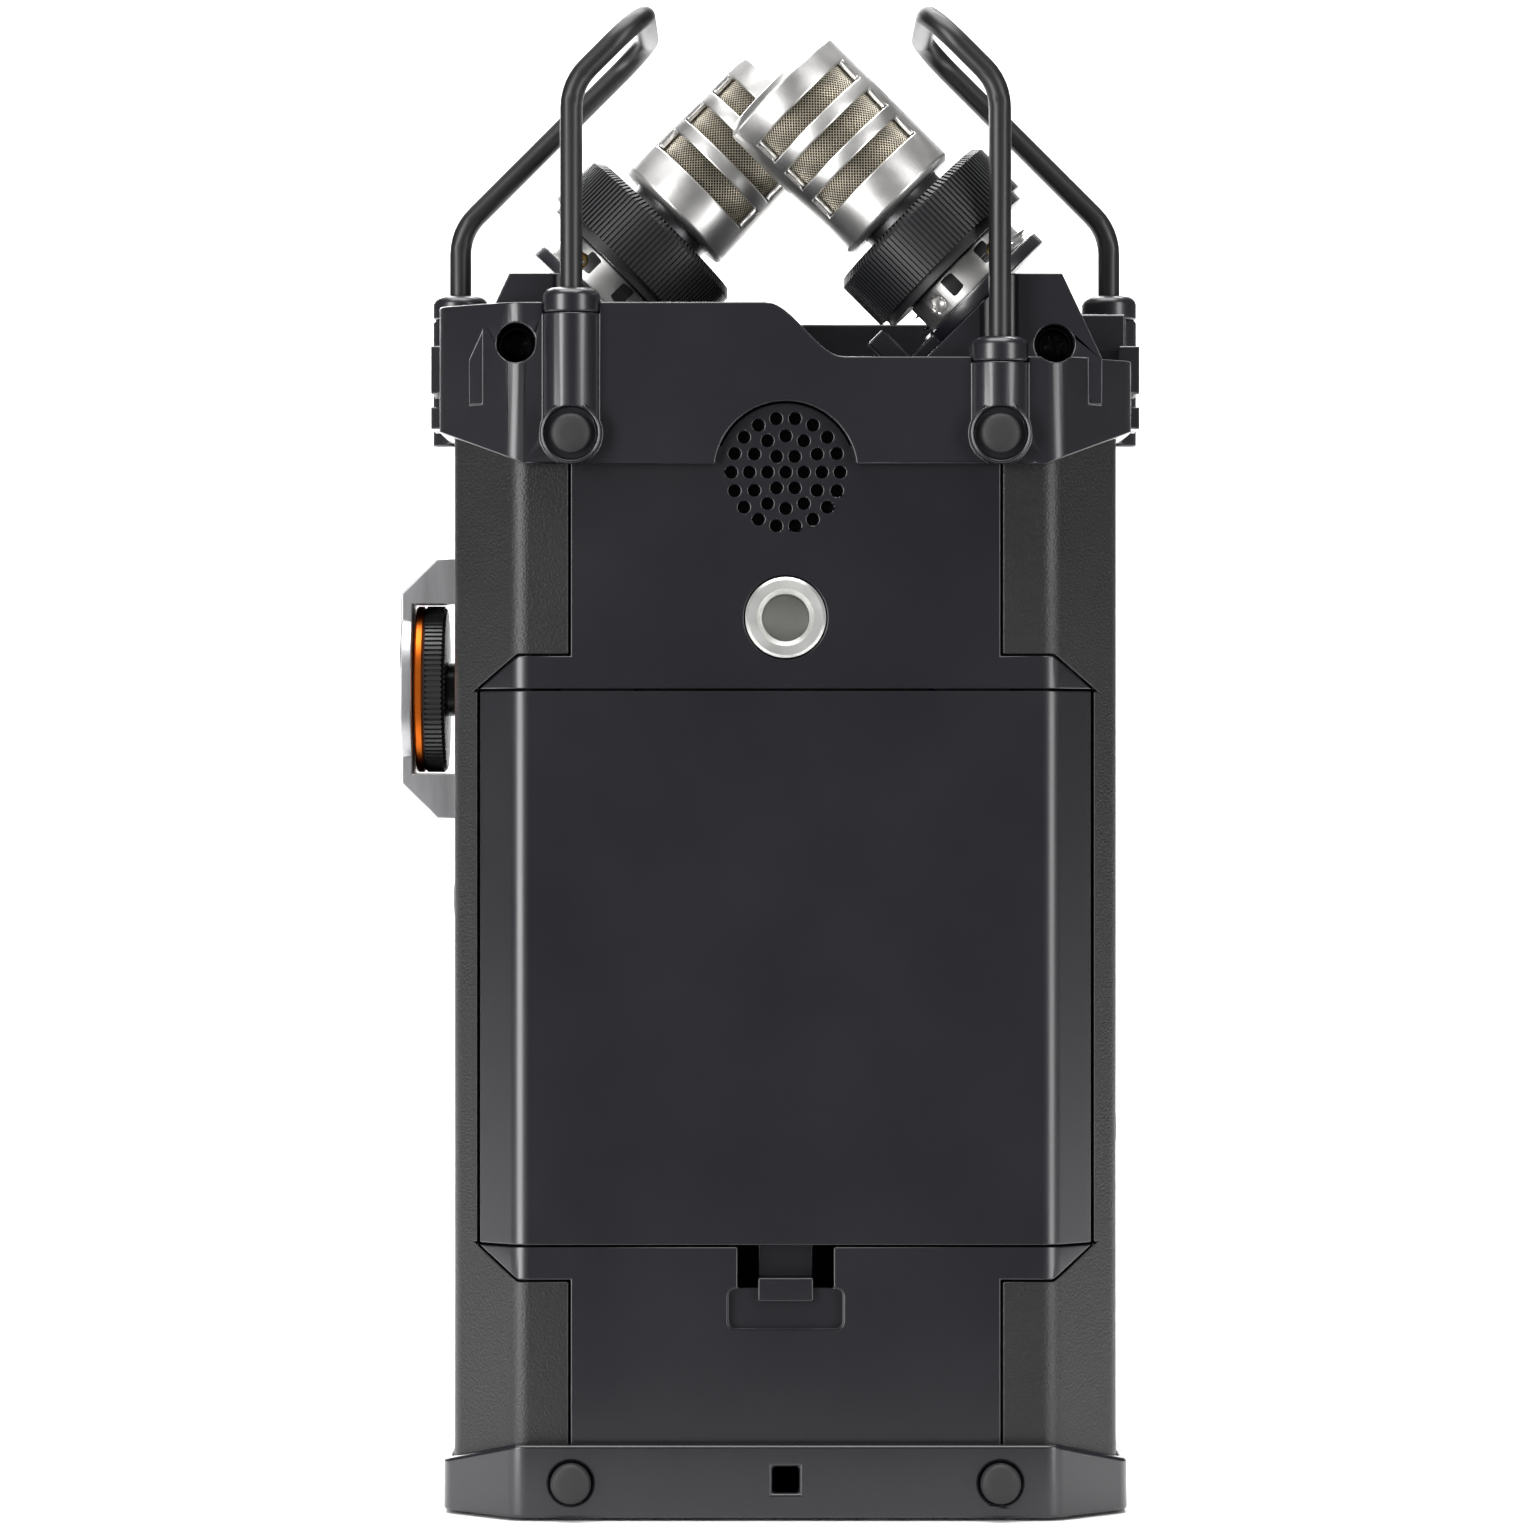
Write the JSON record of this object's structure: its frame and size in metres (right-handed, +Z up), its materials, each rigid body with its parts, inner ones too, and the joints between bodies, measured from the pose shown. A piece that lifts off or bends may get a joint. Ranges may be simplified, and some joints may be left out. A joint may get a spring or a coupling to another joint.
{
  "type": "handheld audio recorder",
  "caption": "Slim upright field recorder with crossed microphones under wire guards, a side level dial, a hinged battery cover and a display with keys on its front.",
  "frame": {"origin": "middle of the flat underside of the base cap, on which the recorder stands", "axes": "+Z up towards the microphones; +Y out of the back, with the tripod bush and the battery cover; the display faces -Y; the level dial is on +X"},
  "size_m": [0.0809, 0.0407, 0.1613],
  "materials": {
    "textured_case": "fine-grained moulded texture",
    "satin_case": "satin paint",
    "head_plastic": "satin paint",
    "black_wire": "matt powder coat",
    "satin_silver": "satin plated",
    "turned_steel": "turned",
    "woven_mesh": "woven",
    "black_plastic": "matt",
    "side_door": "matt",
    "red_key": "satin",
    "orange_ring": "satin",
    "rubber": "matt",
    "black_screw": "black oxide",
    "window": "polished",
    "electronics": "mixed",
    "cell_jacket": "plain sleeve",
    "contacts": "nickel-plated spring metal"
  },
  "bodies": {
    "case": {"side_shell": "textured_case", "upper_back": "satin_case", "lower_back": "satin_case", "front_panel": "satin_case", "head_cap": "head_plastic", "head_front": "head_plastic", "base_cap": "head_plastic", "guard_collars": "head_plastic", "guard_left": "black_wire", "guard_right": "black_wire", "mic_housing_left": "satin_silver", "mic_housing_right": "satin_silver", "mic_bracket_left": "satin_silver", "mic_bracket_right": "satin_silver", "dial_guard": "satin_silver", "tripod_bush": "turned_steel", "mic_mesh_left": "woven_mesh", "mic_mesh_right": "woven_mesh", "mic_neck_left": "black_plastic", "mic_neck_right": "black_plastic", "mic_base_left": "black_plastic", "mic_base_right": "black_plastic", "mic_ring_left": "black_plastic", "mic_ring_right": "black_plastic", "battery_tray": "black_plastic", "phones_jack": "black_plastic", "input_sockets": "black_plastic", "feet": "rubber", "key_mat": "rubber", "case_screws": "black_screw", "display_window": "window", "main_board": "electronics", "display_module": "electronics", "mic_elements": "electronics", "speaker": "electronics", "dial_pot": "electronics", "card_socket": "electronics", "usb_socket": "electronics", "battery_cells": "cell_jacket", "battery_contacts": "contacts"},
    "cover": {"battery_cover": "satin_case"},
    "latch": {"battery_latch": "satin_case"},
    "dial": {"level_dial": "black_plastic", "dial_ring": "orange_ring"},
    "jog": {"jog_wheel": "black_plastic"},
    "enter": {"enter_key": "black_plastic"},
    "stop": {"stop_key": "black_plastic"},
    "rewind": {"rewind_key": "black_plastic"},
    "play": {"play_key": "black_plastic"},
    "forward": {"forward_key": "black_plastic"},
    "record": {"record_key": "red_key"},
    "menu": {"menu_key": "black_plastic"},
    "mark": {"mark_key": "black_plastic"},
    "button_right": {"right_button": "black_plastic"},
    "button_left": {"left_button": "black_plastic"},
    "switch": {"power_switch": "black_plastic"},
    "card_flap": {"card_door": "side_door"},
    "usb_flap": {"usb_door": "side_door"},
    "jack_flap": {"jack_door": "side_door"}
  },
  "joints": [
    {"name": "cover_hinge", "type": "hinge", "parent": "case", "child": "cover", "pos_m": [0, 0.0176, 0.0875], "axis": [1, 0, 0], "range_deg": [0, 100]},
    {"name": "latch_slide", "type": "slide", "parent": "cover", "child": "latch", "axis": [0, 0, 1], "range_m": [0, 0.0009], "stiffness_N_per_m": 400},
    {"name": "dial_turn", "type": "hinge", "parent": "case", "child": "dial", "pos_m": [0.037, -0.004, 0.0883], "axis": [1, 0, 0], "range_deg": [-150, 150]},
    {"name": "jog_turn", "type": "hinge", "parent": "case", "child": "jog", "pos_m": [0, -0.018, 0.056], "axis": [0, -1, 0], "continuous": true},
    {"name": "enter_press", "type": "slide", "parent": "case", "child": "enter", "axis": [0, 1, 0], "range_m": [0, 0.0005], "stiffness_N_per_m": 600},
    {"name": "stop_press", "type": "slide", "parent": "case", "child": "stop", "axis": [0, 1, 0], "range_m": [0, 0.0005], "stiffness_N_per_m": 600},
    {"name": "rewind_press", "type": "slide", "parent": "case", "child": "rewind", "axis": [0, 1, 0], "range_m": [0, 0.0005], "stiffness_N_per_m": 600},
    {"name": "play_press", "type": "slide", "parent": "case", "child": "play", "axis": [0, 1, 0], "range_m": [0, 0.0005], "stiffness_N_per_m": 600},
    {"name": "forward_press", "type": "slide", "parent": "case", "child": "forward", "axis": [0, 1, 0], "range_m": [0, 0.0005], "stiffness_N_per_m": 600},
    {"name": "record_press", "type": "slide", "parent": "case", "child": "record", "axis": [0, 1, 0], "range_m": [0, 0.0005], "stiffness_N_per_m": 600},
    {"name": "menu_press", "type": "slide", "parent": "case", "child": "menu", "axis": [0, 1, 0], "range_m": [0, 0.0005], "stiffness_N_per_m": 600},
    {"name": "mark_press", "type": "slide", "parent": "case", "child": "mark", "axis": [0, 1, 0], "range_m": [0, 0.0005], "stiffness_N_per_m": 600},
    {"name": "button_right_press", "type": "slide", "parent": "case", "child": "button_right", "axis": [-1, 0, 0], "range_m": [0, 0.0004], "stiffness_N_per_m": 600},
    {"name": "button_left_press", "type": "slide", "parent": "case", "child": "button_left", "axis": [1, 0, 0], "range_m": [0, 0.0004], "stiffness_N_per_m": 600},
    {"name": "switch_slide", "type": "slide", "parent": "case", "child": "switch", "axis": [0, 0, 1], "range_m": [-0.002, 0.002]},
    {"name": "card_hinge", "type": "hinge", "parent": "case", "child": "card_flap", "pos_m": [-0.03545, -0.0104, 0.0647], "axis": [0, 0, 1], "range_deg": [0, 90]},
    {"name": "usb_hinge", "type": "hinge", "parent": "case", "child": "usb_flap", "pos_m": [0.03545, -0.0104, 0.1077], "axis": [0, 0, -1], "range_deg": [0, 90]},
    {"name": "jack_hinge", "type": "hinge", "parent": "case", "child": "jack_flap", "pos_m": [-0.03545, -0.0084, 0.1034], "axis": [0, 0, 1], "range_deg": [0, 90]}
  ]
}
